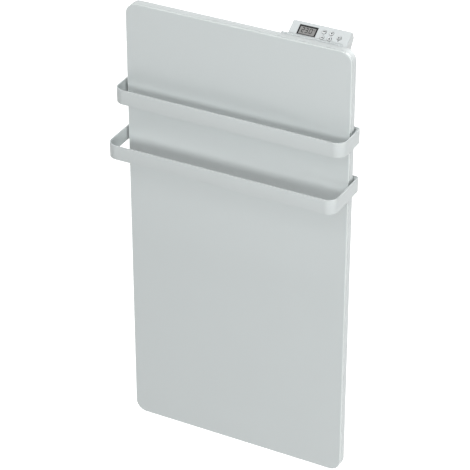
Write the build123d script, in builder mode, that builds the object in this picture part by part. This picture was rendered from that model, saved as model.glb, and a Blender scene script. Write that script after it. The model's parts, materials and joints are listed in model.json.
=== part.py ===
from build123d import *
import math
import os

# Glass towel warmer. The wall is the plane y = 0 and the room lies towards -Y. The origin is the centre
# of the four wall slots. Distances are measured from the wall, heights from the panel's bottom edge.

# Panel
panel_width = 500.0
panel_height = 1000.0
panel_corner = 25.0
glass_thickness = 6.0
glass_edge = 0.8
seal_thickness = 1.0
seal_width = 10.0
seal_inset = 1.0
casing_depth = 15.5
casing_sheet = 1.0
casing_bend = 2.0
casing_lip = 13.0
casing_to_wall = 43.5

# Heating pack
foil_margin = 18.0
foil_thickness = 0.3
wire_diameter = 1.6
wire_pitch = 42.0
wire_first_run = 62.0
wire_top_drop = 140.0
wire_side_margin = 45.0
wire_return_margin = 26.0
wire_return_rise = 10.5
wire_straight = 0.42
cutout_diameter = 16.0
cutout_neck = 11.2
cutout_length = 9.0
cutout_rows = (4.5, 13.5)
sensor_width = 10.0
sensor_height = 5.0
sensor_depth = 3.0
sensor_corner = 1.5
sensor_row = 8.5
sensor_x = 110.0

# Junction block, where the heating wire meets the lead
block_width = 30.0
block_height = 16.0
block_depth = 14.5
block_corner = 1.5
block_edge = 0.6
block_way = 6.0
block_below_floor = 25.0

# Rails, flat bar
rail_height = 32.0
rail_thickness = 3.0
rail_edge = 0.4
rail_front_bend = 20.0
rail_rear_bend = 3.0
rail_side_gap = 5.0
rail_flange = 95.0
upper_rail_reach = 47.0
upper_rail_drop = 174.6
lower_rail_reach = 81.4
lower_rail_drop = 285.0

# Mounting channels on the casing's back
channel_inset = 80.0
channel_crown = 34.0
channel_depth = 9.0
channel_foot = 12.0
channel_sheet = 1.5
channel_bend = 1.5
channel_bottom = 60.0
channel_top_drop = 110.0

# Rail screws, M5, and their weld nuts
rail_screw_diameter = 5.0
rail_screw_head = 9.5
rail_screw_head_height = 2.7
rail_screw_pitch = 16.0
rail_nut_width = 8.0
rail_nut_height = 4.0
rail_screw_round = 0.8
rail_screw_socket = 1.7
rail_screw_socket_depth = 1.6
thread_end = 0.5

# Hanging studs, M6
stud_neck = 6.0
stud_shoulder = 12.0
stud_shoulder_height = 6.0
stud_head = 13.0
stud_head_height = 3.0
stud_nut_width = 10.0
stud_nut_height = 4.5
stud_edge = 0.5
upper_stud_drop = 140.0
lower_stud_height = 100.0

# Wall brackets
bracket_inset = 60.0
bracket_sheet = 2.0
bracket_bend = 2.0
bracket_above_stud = 40.0
bracket_below_stud = 24.0
wall_plate_height = 38.0
wall_slot_width = 6.5
wall_slot_length = 16.0
wall_slot_inset = 100.0
slot_above_stud = 60.0
keyhole_entry = 14.0
keyhole_rise = 16.0

# Latches
latch_sheet = 2.0
latch_width = 12.0
latch_tab_width = 10.0
latch_tab_length = 60.0
latch_tab_angle = 240.0
latch_nose = 27.0
latch_pivot_inset = 24.0
latch_corner = 1.5
pivot_diameter = 5.0
pivot_head = 9.0
pivot_head_height = 1.5

# Control box
control_width = 126.0
control_inset = 88.5
face_tilt = 33.0
face_length = 37.4
face_low_drop = 4.6
drop_depth = 7.1
drop_height = 14.3
taper_depth = 14.5
taper_height = 22.0
control_floor_drop = 50.0
control_wall = 2.0
fascia_thickness = 2.5
skirt_depth = 4.0
skirt_thickness = 1.5

# Control plate
plate_sheet = 1.5
plate_beyond_left = 11.5
plate_short_right = 6.5
plate_rise = 2.2
plate_corner = 2.0
shelf_depth = 20.0

# Window and display, from the box's centre and up the face
window_x = -26.3
window_s = 19.7
window_width = 40.0
window_length = 22.4
window_thickness = 1.5
window_ledge = 2.0
cell_thickness = 2.2
carrier_wall = 1.0

# Buttons
button_diameter = 9.4
button_flange = 11.0
button_flange_thickness = 1.0
button_proud = 0.8
button_travel = 0.8
button_dome = 0.5
button_stem = 3.2
button_columns = (7.5, 23.5)
button_rows = (12.3, 24.7)
power_inset = 20.8
power_s = 18.6
lens_diameter = 2.2
lens_s = 11.7
lens_above_board = 1.5

# Display board
board_thickness = 1.6
board_depth = 11.0
board_side_gap = 5.0
board_low_s = 4.0
board_high_s = 31.0
post_diameter = 5.0
post_inset = 8.0
post_s = (8.0, 27.0)
switch_width = 6.0
switch_height = 3.5
switch_well = 2.3
board_screw_diameter = 2.2
board_screw_head = 4.2
board_screw_head_height = 1.6
board_screw_length = 8.1
blind_end = 1.0
chip_side = 10.0
chip_height = 1.4

# Power board, from the box's left side and floor
power_board_inset = 5.5
power_board_width = 78.0
power_board_rise = 5.0
power_board_height = 30.0
power_board_standoff = 3.0
power_post_inset = 4.0
power_part_edge = 0.5

# Power parts: middle from the box's left side and floor, then width, height and depth of each
relay_size = (19.5, 20.0, 19.0, 15.5, 12.0)
transformer_size = (43.5, 20.0, 20.0, 18.0, 13.0)
terminal_size = (67.5, 11.0, 15.0, 9.0, 10.0)
fuse_size = (67.5, 27.0, 16.0, 6.0, 7.0)

# Ribbon between the boards
ribbon_inset = 51.5
ribbon_width = 8.0
ribbon_thickness = 0.8
ribbon_bend = 2.2
ribbon_s = 14.0
ribbon_drop = 6.0
ribbon_back = 1.5
ribbon_rise = 31.5

# Housing screws, up through the plate's foot
housing_screw_left_inset = 11.5
housing_screw_right_inset = 44.5
housing_screw_distance = 29.0
housing_screw_diameter = 3.0
housing_screw_head = 5.6
housing_screw_head_height = 2.0
housing_boss = 7.0
housing_boss_height = 6.0
housing_screw_short = 1.5

# Cable gland, M12, for a 6.5 mm cord
gland_thread = 12.0
gland_bore = 6.6
gland_inset = 21.5
gland_hex = 15.0
gland_hex_height = 4.0
gland_nut_height = 9.0
gland_nut_round = 2.5
gland_wall = 1.6
gland_thread_above = 6.0
locknut_height = 3.5

# Lead from the casing into the control box
loom_diameter = 4.4
loom_bend = 5.0
grommet_hole = 9.0
grommet_flange = 13.0
grommet_flange_thickness = 1.2
loom_inset = 28.5
loom_rise = 12.0

# Earth stud, from the lead's centre and the junction block's middle
earth_offset = 9.0
earth_rise = 22.0
earth_stud_diameter = 4.0
earth_stud_length = 8.0
earth_washer = 8.0
earth_washer_thickness = 1.0
earth_nut_width = 7.0
earth_nut_height = 3.2

# Clearances
slip = 0.1
loose = 0.3
running = 0.05
web_clearance = 0.25

# Derived distances from the wall
casing_front = casing_to_wall + casing_depth
glass_back = casing_front + seal_thickness
glass_front = glass_back + glass_thickness
crown_rear = casing_to_wall - channel_depth
web_front = crown_rear - stud_shoulder_height - web_clearance
web_rear = web_front - bracket_sheet
plate_rear = casing_to_wall - plate_sheet

# Derived heights, from the panel's bottom edge
upper_stud_height = panel_height - upper_stud_drop
channel_top = panel_height - channel_top_drop
control_floor = panel_height - control_floor_drop
plate_top = panel_height + plate_rise
loom_height = control_floor + loom_rise
block_middle = control_floor - block_below_floor
panel_bottom = -(upper_stud_height + lower_stud_height) / 2 - slot_above_stud
panel_middle = panel_bottom + panel_height / 2
floor_height = panel_bottom + control_floor
channel_spacing = panel_width - 2 * channel_inset
stud_places = [(side * channel_spacing / 2, panel_bottom + height)
               for height in (upper_stud_height, lower_stud_height) for side in (-1, 1)]
upper_rail_top = panel_height - upper_rail_drop
lower_rail_top = panel_height - lower_rail_drop
rail_centre_heights = [panel_bottom + top - rail_height / 2 for top in (upper_rail_top, lower_rail_top)]

# Derived places across the panel
control_centre = panel_width / 2 - control_inset
control_left = control_centre - control_width / 2
control_right = control_centre + control_width / 2
plate_left = control_left - plate_beyond_left
plate_right = control_right - plate_short_right
gland_x = control_right - gland_inset
loom_x = control_right - loom_inset
post_x = control_width / 2 - post_inset
power_x = control_width / 2 - power_inset
housing_screw_x = [control_left + housing_screw_left_inset, control_right - housing_screw_right_inset]
power_mid_x = control_left + power_board_inset + power_board_width / 2
power_mid_z = floor_height + power_board_rise + power_board_height / 2

# The control face: its tilt as a unit slope, its lower edge and the corners behind it, as (y, z)
rise = math.sin(math.radians(face_tilt))
run = math.cos(math.radians(face_tilt))
face_low = (-plate_rear, panel_bottom + panel_height - face_low_drop)
face_high = (face_low[0] + face_length * run, face_low[1] + face_length * rise)
drop_corner = (face_high[0] + drop_depth, face_high[1] - drop_height)
taper_corner = (drop_corner[0] - taper_depth, drop_corner[1] - taper_height)
control_outline = [(face_low[0], floor_height), face_low, face_high, drop_corner, taper_corner,
                   (taper_corner[0], floor_height)]
button_places = {"button_mode": (button_columns[0], button_rows[1]),
                 "button_clock": (button_columns[1], button_rows[1]),
                 "button_minus": (button_columns[0], button_rows[0]),
                 "button_plus": (button_columns[1], button_rows[0]),
                 "button_power": (power_x, power_s)}

os.makedirs("parts", exist_ok=True)


def keep(piece, name):
    """Label a finished piece and write its file."""
    piece.part.label = name
    export_step(piece.part, f"parts/{name}.step")


def room_plane(distance, x=0.0, z=0.0):
    """A plane parallel to the wall and facing the room, at a distance from the wall."""
    return Plane(origin=(x, -distance, z), x_dir=(1, 0, 0), z_dir=(0, -1, 0))


def face_plane(depth, x=0.0, s=0.0):
    """A plane parallel to the control face, at a depth under it, x from its centre and s up its slope."""
    y = face_low[0] + s * run + depth * rise
    z = face_low[1] + s * rise - depth * run
    return Plane(origin=(control_centre + x, y, z), x_dir=(1, 0, 0), z_dir=(0, -rise, run))


def level_plane(height, x=0.0, distance=0.0):
    """A level plane at a height above the panel's bottom edge."""
    return Plane(origin=(x, -distance, panel_bottom + height), x_dir=(1, 0, 0), z_dir=(0, 0, 1))


# Front glass
with BuildPart() as front_glass:
    with BuildSketch(room_plane(glass_back, z=panel_middle)):
        RectangleRounded(panel_width, panel_height, panel_corner)
    extrude(amount=glass_thickness)
    chamfer(front_glass.faces().sort_by(Axis.Y)[0].edges(), glass_edge)
    chamfer(front_glass.faces().sort_by(Axis.Y)[-1].edges(), glass_edge)
keep(front_glass, "front_glass")

# Edge seal, a ring set back from the outline
with BuildPart() as edge_seal:
    with BuildSketch(room_plane(casing_front, z=panel_middle)):
        RectangleRounded(panel_width - 2 * seal_inset, panel_height - 2 * seal_inset,
                         panel_corner - seal_inset)
        seal_inner = seal_inset + seal_width
        RectangleRounded(panel_width - 2 * seal_inner, panel_height - 2 * seal_inner,
                         panel_corner - seal_inner, mode=Mode.SUBTRACT)
    extrude(amount=seal_thickness)
keep(edge_seal, "edge_seal")

# Rear casing, a tray with a lip that turns in behind the seal
with BuildPart() as rear_casing:
    with BuildSketch(room_plane(casing_to_wall, z=panel_middle)):
        RectangleRounded(panel_width, panel_height, panel_corner)
    extrude(amount=casing_depth)
    fillet(rear_casing.faces().sort_by(Axis.Y)[-1].edges(), casing_bend)
    with BuildSketch(room_plane(casing_to_wall + casing_sheet, z=panel_middle)):
        RectangleRounded(panel_width - 2 * casing_sheet, panel_height - 2 * casing_sheet,
                         panel_corner - casing_sheet)
    extrude(amount=casing_depth - 2 * casing_sheet, mode=Mode.SUBTRACT)
    with BuildSketch(room_plane(casing_front - casing_sheet, z=panel_middle)):
        RectangleRounded(panel_width - 2 * casing_lip, panel_height - 2 * casing_lip,
                         panel_corner - casing_lip)
    extrude(amount=casing_sheet, mode=Mode.SUBTRACT)
    with BuildSketch(room_plane(casing_to_wall, loom_x, panel_bottom + loom_height)):
        Circle(grommet_hole / 2)
    extrude(amount=casing_sheet, mode=Mode.SUBTRACT)
keep(rear_casing, "rear_casing")

# Heating foil, bonded to the back of the glass
with BuildPart() as heating_foil:
    with BuildSketch(room_plane(glass_back - foil_thickness, z=panel_middle)):
        Rectangle(panel_width - 2 * foil_margin, panel_height - 2 * foil_margin)
    extrude(amount=foil_thickness)
keep(heating_foil, "heating_foil")

# Junction block
wire_centre = glass_back - foil_thickness - wire_diameter / 2 - running
with BuildPart() as junction_block:
    with BuildSketch(room_plane(casing_to_wall + casing_sheet, loom_x, panel_bottom + block_middle)):
        Rectangle(block_width, block_height)
    extrude(amount=block_depth)
    fillet(junction_block.edges().filter_by(Axis.Y), block_corner)
    chamfer(junction_block.faces().sort_by(Axis.Y)[0].edges(), block_edge)
keep(junction_block, "junction_block")

# Heating wire, laid in runs across the panel and back up its right side
left_end = -panel_width / 2 + wire_side_margin
right_end = panel_width / 2 - wire_side_margin
return_x = panel_width / 2 - wire_return_margin
block_low = block_middle - block_height / 2
wire_tail = (loom_x - block_way, panel_bottom + block_low - running)
return_tail = (loom_x + block_way, panel_bottom + block_low - running)
wire_runs = 2 * int((panel_height - wire_first_run - wire_top_drop + wire_pitch) / (2 * wire_pitch))
top_run = panel_bottom + wire_first_run + (wire_runs - 1) * wire_pitch
wire_corners = [wire_tail, (wire_tail[0], top_run)]
for i in range(wire_runs - 1):
    height = top_run - i * wire_pitch
    end = left_end if i % 2 == 0 else right_end
    wire_corners += [(end, height), (end, height - wire_pitch)]
return_height = top_run + wire_return_rise
wire_corners += [(return_x, panel_bottom + wire_first_run), (return_x, return_height)]
wire_corners += [(return_tail[0], return_height), return_tail]
run_bend = wire_pitch / 2 - wire_straight
tail_bend = (return_x - return_tail[0]) / 2 - wire_straight
wire_radii = [run_bend] * (len(wire_corners) - 4) + [tail_bend] * 2
with BuildPart() as heating_wire:
    with BuildLine(room_plane(wire_centre)) as wire_path:
        FilletPolyline(*wire_corners, radius=wire_radii)
    with BuildSketch(Plane(origin=wire_path.line @ 0, z_dir=wire_path.line % 0)):
        Circle(wire_diameter / 2)
    sweep()
keep(heating_wire, "heating_wire")

# Thermal cut-outs and the glass temperature sensor, pressed on the foil between two runs of wire
cutout_places = [(0.0, top_run - wire_pitch * row) for row in cutout_rows]
sensor_place = (sensor_x, top_run - wire_pitch * sensor_row)
foil_rear = glass_back - foil_thickness
with BuildPart() as thermal_cutouts:
    with BuildSketch(room_plane(foil_rear - slip)):
        with Locations(*cutout_places):
            Circle(cutout_diameter / 2)
    extrude(amount=-cutout_length / 2)
    with BuildSketch(room_plane(foil_rear - slip - cutout_length / 2)):
        with Locations(*cutout_places):
            Rectangle(cutout_neck, cutout_neck)
    extrude(amount=-cutout_length / 2)
keep(thermal_cutouts, "thermal_cutouts")

with BuildPart() as glass_sensor:
    with BuildSketch(room_plane(foil_rear - slip)):
        with Locations(sensor_place):
            RectangleRounded(sensor_width, sensor_height, sensor_corner)
    extrude(amount=-sensor_depth)
keep(glass_sensor, "glass_sensor")

# Insulation mat, with room for what stands on the foil
mat_rear = casing_to_wall + casing_sheet + slip
mat_front = wire_centre - wire_diameter / 2 - slip
with BuildPart() as insulation_mat:
    with BuildSketch(room_plane(mat_rear, z=panel_middle)):
        Rectangle(panel_width - 2 * foil_margin, panel_height - 2 * foil_margin)
    extrude(amount=mat_front - mat_rear)
    with BuildSketch(room_plane(mat_rear)):
        with Locations(*cutout_places):
            Circle(cutout_diameter / 2 + loose)
        with Locations(sensor_place):
            Rectangle(sensor_width + 2 * loose, sensor_height + 2 * loose)
        pocket_low = panel_bottom + block_low - loose
        pocket_high = panel_middle + panel_height / 2 - foil_margin
        with Locations((loom_x, (pocket_low + pocket_high) / 2)):
            Rectangle(block_width + 2 * loose, pocket_high - pocket_low)
    extrude(amount=mat_front - mat_rear, mode=Mode.SUBTRACT)
keep(insulation_mat, "insulation_mat")


# Mounting channels
def mounting_channel(x):
    """A hat section of bent sheet, open at its ends, whose crown carries the rails and the studs."""
    foot_y = -(casing_to_wall - channel_sheet / 2)
    crown_y = -(crown_rear + channel_sheet / 2)
    half = channel_crown / 2 - channel_sheet / 2
    reach = channel_crown / 2 + channel_foot
    section = [(-reach, foot_y), (-half, foot_y), (-half, crown_y),
               (half, crown_y), (half, foot_y), (reach, foot_y)]
    with BuildPart() as channel:
        with BuildSketch(level_plane(channel_bottom, x)):
            with BuildLine():
                FilletPolyline(*section, radius=channel_bend)
            trace(line_width=channel_sheet)
        extrude(amount=channel_top - channel_bottom)
        with BuildSketch(room_plane(crown_rear, x)):
            for centre in rail_centre_heights:
                with Locations((0, centre)):
                    with GridLocations(0, rail_screw_pitch, 1, 2):
                        Circle(rail_screw_diameter / 2 + loose / 2)
            with Locations(*[(0, z) for side_x, z in stud_places if side_x * x > 0]):
                Circle(stud_neck / 2 + slip)
        extrude(amount=channel_sheet, mode=Mode.SUBTRACT)
    return channel


channel_left = mounting_channel(-channel_spacing / 2)
keep(channel_left, "channel_left")
channel_right = mounting_channel(channel_spacing / 2)
keep(channel_right, "channel_right")


# Towel rails
def towel_rail(reach, top):
    """Flat bar bent round both sides of the panel, its ends turned in behind on the channels."""
    half_sheet = rail_thickness / 2
    side_x = panel_width / 2 + rail_side_gap + half_sheet
    front_y = -(glass_front + reach - half_sheet)
    rear_y = -(crown_rear - half_sheet)
    end_x = side_x - rail_flange
    path = [(-end_x, rear_y), (-side_x, rear_y), (-side_x, front_y),
            (side_x, front_y), (side_x, rear_y), (end_x, rear_y)]
    rear_radius = rail_rear_bend + half_sheet
    front_radius = rail_front_bend + half_sheet
    with BuildPart() as rail:
        with BuildSketch(level_plane(top - rail_height)):
            with BuildLine():
                FilletPolyline(*path, radius=[rear_radius, front_radius, front_radius, rear_radius])
            trace(line_width=rail_thickness)
        extrude(amount=rail_height)
        chamfer(rail.faces().sort_by(Axis.Z)[0].edges(), rail_edge)
        chamfer(rail.faces().sort_by(Axis.Z)[-1].edges(), rail_edge)
        with BuildSketch(room_plane(crown_rear - rail_thickness, z=panel_bottom + top - rail_height / 2)):
            with GridLocations(channel_spacing, rail_screw_pitch, 2, 2):
                Circle(rail_screw_diameter / 2 + loose / 2)
        extrude(amount=rail_thickness, mode=Mode.SUBTRACT)
    return rail


rail_upper = towel_rail(upper_rail_reach, upper_rail_top)
keep(rail_upper, "rail_upper")
rail_lower = towel_rail(lower_rail_reach, lower_rail_top)
keep(rail_lower, "rail_lower")

# Rail screws and the nuts welded inside the channels
crown_front = crown_rear + channel_sheet
rail_screw_places = [(side * channel_spacing / 2, centre + step * rail_screw_pitch / 2)
                     for centre in rail_centre_heights for side in (-1, 1) for step in (-1, 1)]
screw_seat = crown_rear - rail_thickness
with BuildPart() as rail_screws:
    with BuildSketch(room_plane(screw_seat)):
        with Locations(*rail_screw_places):
            Circle(rail_screw_diameter / 2)
    extrude(amount=crown_front + rail_nut_height + thread_end - screw_seat)
    with BuildSketch(room_plane(screw_seat)):
        with Locations(*rail_screw_places):
            Circle(rail_screw_head / 2)
    extrude(amount=-rail_screw_head_height)
    fillet(rail_screws.faces().sort_by(Axis.Y)[-8:].edges(), rail_screw_round)
    with BuildSketch(room_plane(screw_seat - rail_screw_head_height)):
        with Locations(*rail_screw_places):
            RegularPolygon(rail_screw_socket, 6)
    extrude(amount=rail_screw_socket_depth, mode=Mode.SUBTRACT)
keep(rail_screws, "rail_screws")

with BuildPart() as rail_nuts:
    with BuildSketch(room_plane(crown_front)):
        with Locations(*rail_screw_places):
            RegularPolygon(rail_nut_width / 2, 6, major_radius=False)
            Circle(rail_screw_diameter / 2 + running, mode=Mode.SUBTRACT)
    extrude(amount=rail_nut_height)
keep(rail_nuts, "rail_nuts")

# Hanging studs: a shoulder on the channel, a neck in the bracket's keyhole and a head behind it
neck_end = web_rear - web_clearance
with BuildPart() as hanging_studs:
    with BuildSketch(room_plane(neck_end)):
        with Locations(*stud_places):
            Circle(stud_neck / 2)
    extrude(amount=crown_front + stud_nut_height + thread_end - neck_end)
    with BuildSketch(room_plane(crown_rear - stud_shoulder_height)):
        with Locations(*stud_places):
            Circle(stud_shoulder / 2)
    extrude(amount=stud_shoulder_height)
    with BuildSketch(room_plane(neck_end)):
        with Locations(*stud_places):
            Circle(stud_head / 2)
    extrude(amount=-stud_head_height)
    chamfer(hanging_studs.faces().sort_by(Axis.Y)[-4:].edges(), stud_edge)
keep(hanging_studs, "hanging_studs")

with BuildPart() as stud_nuts:
    with BuildSketch(room_plane(crown_front)):
        with Locations(*stud_places):
            RegularPolygon(stud_nut_width / 2, 6, major_radius=False)
            Circle(stud_neck / 2 + running, mode=Mode.SUBTRACT)
    extrude(amount=stud_nut_height)
keep(stud_nuts, "stud_nuts")

# Latch geometry, from a stud's centre
pivot_rise = stud_head / 2 + loose + latch_width / 2
pivot_x = channel_spacing / 2 - latch_pivot_inset
lower_stud_z = panel_bottom + lower_stud_height


# Wall brackets
bracket_length = panel_width - 2 * bracket_inset
wall_slot_spacing = panel_width - 2 * wall_slot_inset


def wall_bracket(stud_height, with_latches):
    """Bent sheet: a plate on the wall, a shelf out from it and a web with two keyholes hanging from that."""
    stud_z = panel_bottom + stud_height
    half_sheet = bracket_sheet / 2
    shelf_z = stud_z + bracket_above_stud
    section = [(-half_sheet, shelf_z + wall_plate_height), (-half_sheet, shelf_z),
               (-(web_rear + half_sheet), shelf_z), (-(web_rear + half_sheet), stud_z - bracket_below_stud)]
    with BuildPart() as bracket:
        with BuildSketch(Plane.YZ.offset(-bracket_length / 2)):
            with BuildLine():
                FilletPolyline(*section, radius=bracket_bend + half_sheet)
            trace(line_width=bracket_sheet)
        extrude(amount=bracket_length)
        with BuildSketch(room_plane(0, z=stud_z + slot_above_stud)):
            with GridLocations(wall_slot_spacing, 0, 2, 1):
                SlotOverall(wall_slot_length, wall_slot_width)
        extrude(amount=bracket_sheet, mode=Mode.SUBTRACT)
        with BuildSketch(room_plane(web_rear, z=stud_z)):
            with GridLocations(channel_spacing, 0, 2, 1):
                with Locations((0, keyhole_rise)):
                    Circle(keyhole_entry / 2)
                with Locations((0, keyhole_rise / 2 - slip)):
                    SlotCenterToCenter(keyhole_rise, stud_neck + 2 * loose, rotation=90)
            if with_latches:
                with Locations((-pivot_x, pivot_rise), (pivot_x, pivot_rise)):
                    Circle(pivot_diameter / 2 + running)
        extrude(amount=bracket_sheet, mode=Mode.SUBTRACT)
    return bracket


wall_bracket_upper = wall_bracket(upper_stud_height, False)
keep(wall_bracket_upper, "wall_bracket_upper")
wall_bracket_lower = wall_bracket(lower_stud_height, True)
keep(wall_bracket_lower, "wall_bracket_lower")


# Latches behind the lower bracket's web, each with a nose over a stud's head and a finger tab below
def lock_latch(side):
    """A flat lever; side is -1 for the left stud and 1 for the right."""
    tab_angle = math.radians(latch_tab_angle)
    tab_end = (side * latch_tab_length * math.cos(tab_angle), latch_tab_length * math.sin(tab_angle))
    with BuildPart() as latch:
        with BuildSketch(room_plane(web_rear - web_clearance, side * pivot_x, lower_stud_z + pivot_rise)):
            Circle(latch_width / 2)
            with Locations((side * latch_nose / 2, 0)):
                Rectangle(latch_nose, latch_width)
            SlotCenterPoint((tab_end[0] / 2, tab_end[1] / 2), tab_end, latch_tab_width)
            Circle(pivot_diameter / 2 + running, mode=Mode.SUBTRACT)
        extrude(amount=-latch_sheet)
        nose_edges = latch.edges().filter_by(Axis.Y).sort_by(Axis.X, reverse=side > 0)[:2]
        fillet(nose_edges, latch_corner)
    return latch


latch_left = lock_latch(-1)
keep(latch_left, "latch_left")
latch_right = lock_latch(1)
keep(latch_right, "latch_right")

# Pivot rivets through the web and the latches
latch_rear = web_rear - web_clearance - latch_sheet - slip
with BuildPart() as latch_pivots:
    pivot_places = [(-pivot_x, lower_stud_z + pivot_rise), (pivot_x, lower_stud_z + pivot_rise)]
    with BuildSketch(room_plane(latch_rear)):
        with Locations(*pivot_places):
            Circle(pivot_diameter / 2)
    extrude(amount=web_front - latch_rear)
    with BuildSketch(room_plane(web_front)):
        with Locations(*pivot_places):
            Circle(pivot_head / 2)
    extrude(amount=pivot_head_height)
    with BuildSketch(room_plane(latch_rear)):
        with Locations(*pivot_places):
            Circle(pivot_head / 2)
    extrude(amount=-pivot_head_height)
keep(latch_pivots, "latch_pivots")

# Control plate: stands up behind the casing's top edge, its foot turned back under the control box
plate_middle = (plate_left + plate_right) / 2
gland_distance = crown_rear - rail_thickness - gland_bore / 2 - loose
plate_width = plate_right - plate_left
shelf_front = plate_rear - shelf_depth
with BuildPart() as control_plate:
    with BuildSketch(room_plane(plate_rear, plate_middle, panel_bottom + control_floor - plate_sheet)):
        Rectangle(plate_width, plate_top - control_floor + plate_sheet, align=(Align.CENTER, Align.MIN))
    extrude(amount=plate_sheet)
    fillet(control_plate.edges().filter_by(Axis.Y).group_by(Axis.Z)[-1], plate_corner)
    with BuildSketch(level_plane(control_floor - plate_sheet, plate_middle, plate_rear)):
        Rectangle(plate_width, shelf_depth, align=(Align.CENTER, Align.MIN))
    extrude(amount=plate_sheet)
    with BuildSketch(room_plane(plate_rear, loom_x, panel_bottom + loom_height)):
        Circle(grommet_hole / 2)
    extrude(amount=plate_sheet, mode=Mode.SUBTRACT)
    with BuildSketch(level_plane(control_floor - plate_sheet, gland_x, gland_distance)):
        Circle(gland_thread / 2 + slip)
        for x in housing_screw_x:
            with Locations((x - gland_x, gland_distance - housing_screw_distance)):
                Circle(housing_screw_diameter / 2 + slip)
    extrude(amount=plate_sheet, mode=Mode.SUBTRACT)
keep(control_plate, "control_plate")

# Cable grommet through the casing, the plate and the housing
grommet_front = casing_to_wall + casing_sheet
grommet_rear = plate_rear - control_wall
loom_z = panel_bottom + loom_height
with BuildPart() as cable_grommet:
    with BuildSketch(room_plane(grommet_rear, loom_x, loom_z)):
        Circle(grommet_hole / 2 - slip)
    extrude(amount=grommet_front - grommet_rear)
    with BuildSketch(room_plane(grommet_front, loom_x, loom_z)):
        Circle(grommet_flange / 2)
    extrude(amount=grommet_flange_thickness)
    with BuildSketch(room_plane(grommet_rear, loom_x, loom_z)):
        Circle(grommet_flange / 2)
    extrude(amount=-grommet_flange_thickness)
    with BuildSketch(room_plane(grommet_rear - grommet_flange_thickness, loom_x, loom_z)):
        Circle(loom_diameter / 2 + slip)
    extrude(amount=grommet_front - grommet_rear + 2 * grommet_flange_thickness, mode=Mode.SUBTRACT)
keep(cable_grommet, "cable_grommet")

# Lead loom, from the junction block through the grommet to the terminal block
power_board_rear = plate_rear - control_wall - power_board_standoff - board_thickness
loom_front = -(casing_to_wall + casing_sheet + block_depth / 2)
loom_rear = -(power_board_rear - terminal_size[4] / 2)
terminal_side = control_left + terminal_size[0] + terminal_size[2] / 2
loom_start = panel_bottom + block_middle + block_height / 2 + running
loom_points = [(loom_x, loom_front, loom_start), (loom_x, loom_front, loom_z), (loom_x, loom_rear, loom_z),
               (terminal_side + running, loom_rear, loom_z)]
with BuildPart() as lead_loom:
    with BuildLine() as loom_path:
        FilletPolyline(*loom_points, radius=loom_bend)
    with BuildSketch(Plane(origin=loom_path.line @ 0, z_dir=loom_path.line % 0)):
        Circle(loom_diameter / 2)
    sweep()
keep(lead_loom, "lead_loom")

# Earth stud and its nut, on the casing beside the lead
earth_x = loom_x - earth_offset
earth_z = panel_bottom + block_middle + earth_rise
washer_front = grommet_front + earth_washer_thickness
with BuildPart() as earth_stud:
    with BuildSketch(room_plane(grommet_front, earth_x, earth_z)):
        Circle(earth_washer / 2)
    extrude(amount=earth_washer_thickness)
    with BuildSketch(room_plane(washer_front, earth_x, earth_z)):
        RegularPolygon(earth_nut_width / 2, 6, major_radius=False)
    extrude(amount=earth_nut_height)
    with BuildSketch(room_plane(washer_front, earth_x, earth_z)):
        Circle(earth_stud_diameter / 2)
    extrude(amount=earth_stud_length)
keep(earth_stud, "earth_stud")

# Control housing, open under its fascia
power_post_x = power_board_width - 2 * power_post_inset
power_post_z = power_board_height - 2 * power_post_inset
with BuildPart() as control_housing:
    with BuildSketch(Plane.YZ.offset(control_left)):
        Polygon(*control_outline, align=None)
    extrude(amount=control_width)
    with BuildSketch(Plane.YZ.offset(control_left + control_wall)):
        Polygon(*control_outline, align=None)
        offset(amount=-control_wall, kind=Kind.INTERSECTION, mode=Mode.REPLACE)
    extrude(amount=control_width - 2 * control_wall, mode=Mode.SUBTRACT)
    split(bisect_by=face_plane(fascia_thickness), keep=Keep.BOTTOM)
    # Posts for the power board
    with BuildSketch(room_plane(grommet_rear, power_mid_x, power_mid_z)):
        with GridLocations(power_post_x, power_post_z, 2, 2):
            Circle(post_diameter / 2)
    extrude(amount=-power_board_standoff)
    # Bosses for the housing screws
    with BuildSketch(level_plane(control_floor + control_wall, 0, housing_screw_distance)):
        with Locations(*[(x, 0) for x in housing_screw_x]):
            Circle(housing_boss / 2)
    extrude(amount=housing_boss_height)
    # Holes: board screws, housing screws, gland, grommet and fascia screws
    with BuildSketch(room_plane(grommet_rear - power_board_standoff, power_mid_x, power_mid_z)):
        with GridLocations(power_post_x, power_post_z, 2, 2):
            Circle(board_screw_diameter / 2 + running)
    extrude(amount=power_board_standoff + control_wall / 2, mode=Mode.SUBTRACT)
    with BuildSketch(level_plane(control_floor, 0, housing_screw_distance)):
        with Locations(*[(x, 0) for x in housing_screw_x]):
            Circle(housing_screw_diameter / 2 + running)
    extrude(amount=control_wall + housing_boss_height - blind_end, mode=Mode.SUBTRACT)
    with BuildSketch(level_plane(control_floor, gland_x, gland_distance)):
        Circle(gland_thread / 2 + slip)
    extrude(amount=control_wall, mode=Mode.SUBTRACT)
    with BuildSketch(room_plane(grommet_rear, loom_x, loom_z)):
        Circle(grommet_hole / 2)
    extrude(amount=control_wall, mode=Mode.SUBTRACT)
keep(control_housing, "control_housing")

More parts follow.
